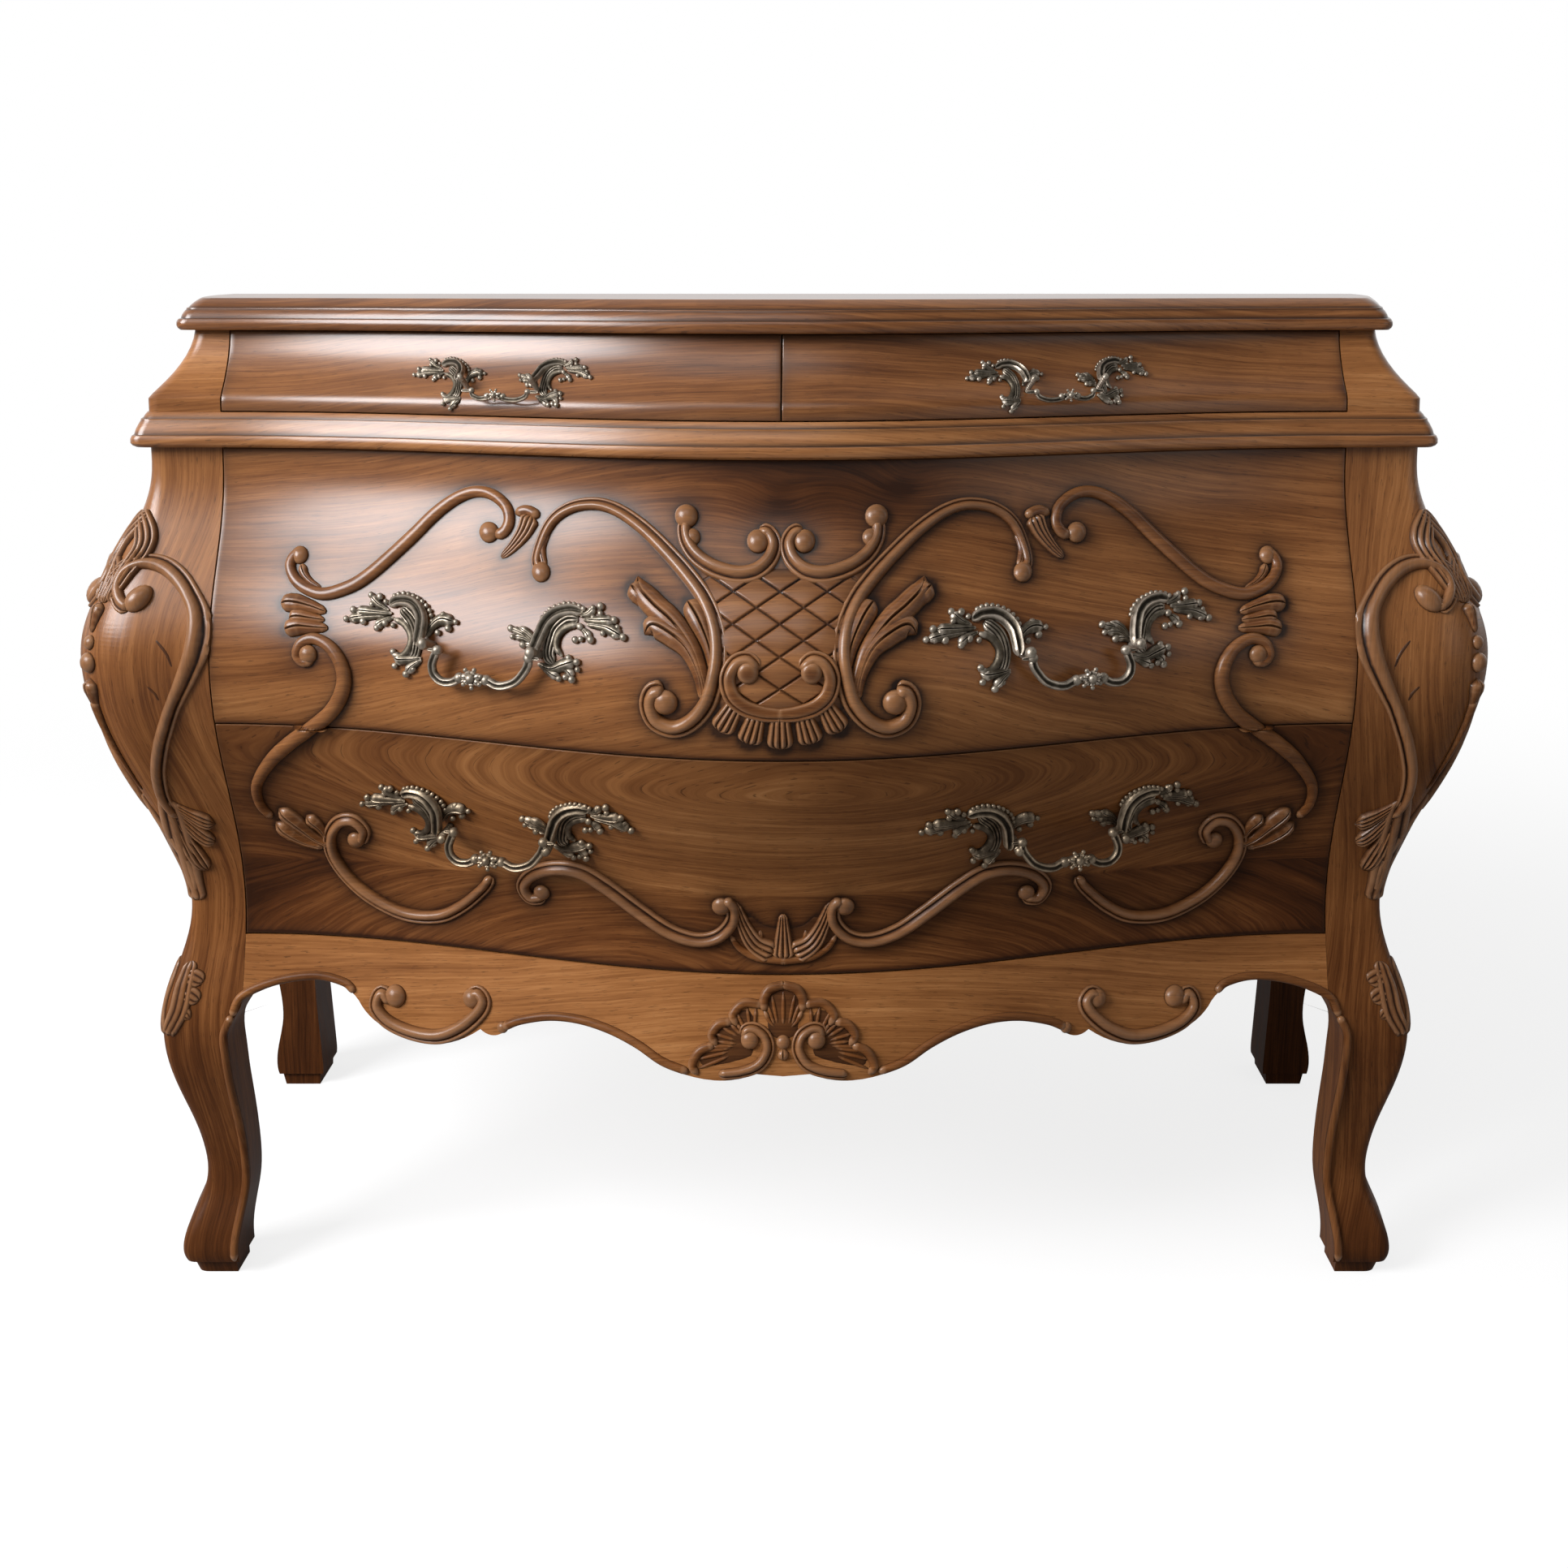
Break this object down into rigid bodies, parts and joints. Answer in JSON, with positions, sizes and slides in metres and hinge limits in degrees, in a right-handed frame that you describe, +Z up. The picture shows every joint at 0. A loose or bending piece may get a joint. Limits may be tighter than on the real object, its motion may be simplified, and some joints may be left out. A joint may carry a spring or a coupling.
{
  "type": "commode chest",
  "caption": "Bombe commode chest in carved walnut with small frieze drawers over long bowed drawers, cast bail pulls and cabriole legs",
  "frame": {"origin": "on the floor, in the middle of the whole part's box", "axes": "+X to the viewer's right, +Y to the back (wall side), +Z up; the drawers open along -Y"},
  "size_m": [1.2312, 0.602, 0.84],
  "materials": {
    "walnut": "waxed, figured",
    "inner_wood": "plain, unpolished",
    "brass": "antique green-grey patina",
    "brass_worn": "antique brown patina",
    "steel": "plain"
  },
  "bodies": {
    "case": {"front_leg_right": "walnut", "front_leg_left": "walnut", "rear_leg_right": "walnut", "rear_leg_left": "walnut", "side_panel_right": "walnut", "side_panel_left": "walnut", "side_apron_right": "walnut", "side_apron_left": "walnut", "front_apron": "walnut", "bottom_board": "inner_wood", "dust_board": "inner_wood", "drawer_guides": "inner_wood", "top_board": "walnut", "waist_moulding_front": "walnut", "waist_moulding_right": "walnut", "waist_moulding_left": "walnut", "waist_board": "inner_wood", "frieze_corner_right": "walnut", "frieze_corner_left": "walnut", "frieze_side_right": "walnut", "frieze_side_left": "walnut", "back_panel": "inner_wood", "frieze_divider": "inner_wood"},
    "lower_drawer": {"lower_drawer_front": "walnut", "lower_drawer_side_left": "inner_wood", "lower_drawer_side_right": "inner_wood", "lower_drawer_back": "inner_wood", "lower_drawer_bottom": "inner_wood", "lower_drawer_left_pull_mounts": "brass_worn", "lower_drawer_right_pull_mounts": "brass_worn", "lower_drawer_pull_bolts": "steel"},
    "middle_drawer": {"middle_drawer_front": "walnut", "middle_drawer_side_left": "inner_wood", "middle_drawer_side_right": "inner_wood", "middle_drawer_back": "inner_wood", "middle_drawer_bottom": "inner_wood", "middle_drawer_left_pull_mounts": "brass", "middle_drawer_right_pull_mounts": "brass", "middle_drawer_pull_bolts": "steel"},
    "left_small_drawer": {"left_small_drawer_front": "walnut", "left_small_drawer_side_left": "inner_wood", "left_small_drawer_side_right": "inner_wood", "left_small_drawer_back": "inner_wood", "left_small_drawer_bottom": "inner_wood", "left_small_drawer_pull_mounts": "brass", "left_small_drawer_pull_bolts": "steel"},
    "right_small_drawer": {"right_small_drawer_front": "walnut", "right_small_drawer_side_left": "inner_wood", "right_small_drawer_side_right": "inner_wood", "right_small_drawer_back": "inner_wood", "right_small_drawer_bottom": "inner_wood", "right_small_drawer_pull_mounts": "brass", "right_small_drawer_pull_bolts": "steel"},
    "lower_left_bail": {"lower_drawer_left_pull_bail": "brass_worn"},
    "lower_right_bail": {"lower_drawer_right_pull_bail": "brass_worn"},
    "middle_left_bail": {"middle_drawer_left_pull_bail": "brass"},
    "middle_right_bail": {"middle_drawer_right_pull_bail": "brass"},
    "left_small_bail": {"left_small_drawer_pull_bail": "brass"},
    "right_small_bail": {"right_small_drawer_pull_bail": "brass"}
  },
  "joints": [
    {"name": "lower_drawer_slide", "type": "slide", "parent": "case", "child": "lower_drawer", "axis": [0, -1, 0], "range_m": [0, 0.32]},
    {"name": "middle_drawer_slide", "type": "slide", "parent": "case", "child": "middle_drawer", "axis": [0, -1, 0], "range_m": [0, 0.32]},
    {"name": "left_small_drawer_slide", "type": "slide", "parent": "case", "child": "left_small_drawer", "axis": [0, -1, 0], "range_m": [0, 0.3]},
    {"name": "right_small_drawer_slide", "type": "slide", "parent": "case", "child": "right_small_drawer", "axis": [0, -1, 0], "range_m": [0, 0.3]},
    {"name": "lower_left_bail_hinge", "type": "hinge", "parent": "lower_drawer", "child": "lower_left_bail", "pos_m": [-0.226, -0.20293, 0.416], "axis": [-0.9448, 0.3276, 0], "range_deg": [0, 85]},
    {"name": "lower_right_bail_hinge", "type": "hinge", "parent": "lower_drawer", "child": "lower_right_bail", "pos_m": [0.226, -0.20293, 0.416], "axis": [-0.9448, -0.3276, 0], "range_deg": [0, 85]},
    {"name": "middle_left_bail_hinge", "type": "hinge", "parent": "middle_drawer", "child": "middle_left_bail", "pos_m": [-0.226, -0.25007, 0.574], "axis": [-0.9311, 0.3648, 0], "range_deg": [0, 85]},
    {"name": "middle_right_bail_hinge", "type": "hinge", "parent": "middle_drawer", "child": "middle_right_bail", "pos_m": [0.226, -0.25007, 0.574], "axis": [-0.9311, -0.3648, 0], "range_deg": [0, 85]},
    {"name": "left_small_bail_hinge", "type": "hinge", "parent": "left_small_drawer", "child": "left_small_bail", "pos_m": [-0.22, -0.18777, 0.769], "axis": [-0.944, 0.3299, 0], "range_deg": [0, 85]},
    {"name": "right_small_bail_hinge", "type": "hinge", "parent": "right_small_drawer", "child": "right_small_bail", "pos_m": [0.22, -0.18777, 0.769], "axis": [-0.944, -0.3299, 0], "range_deg": [0, 85]}
  ]
}
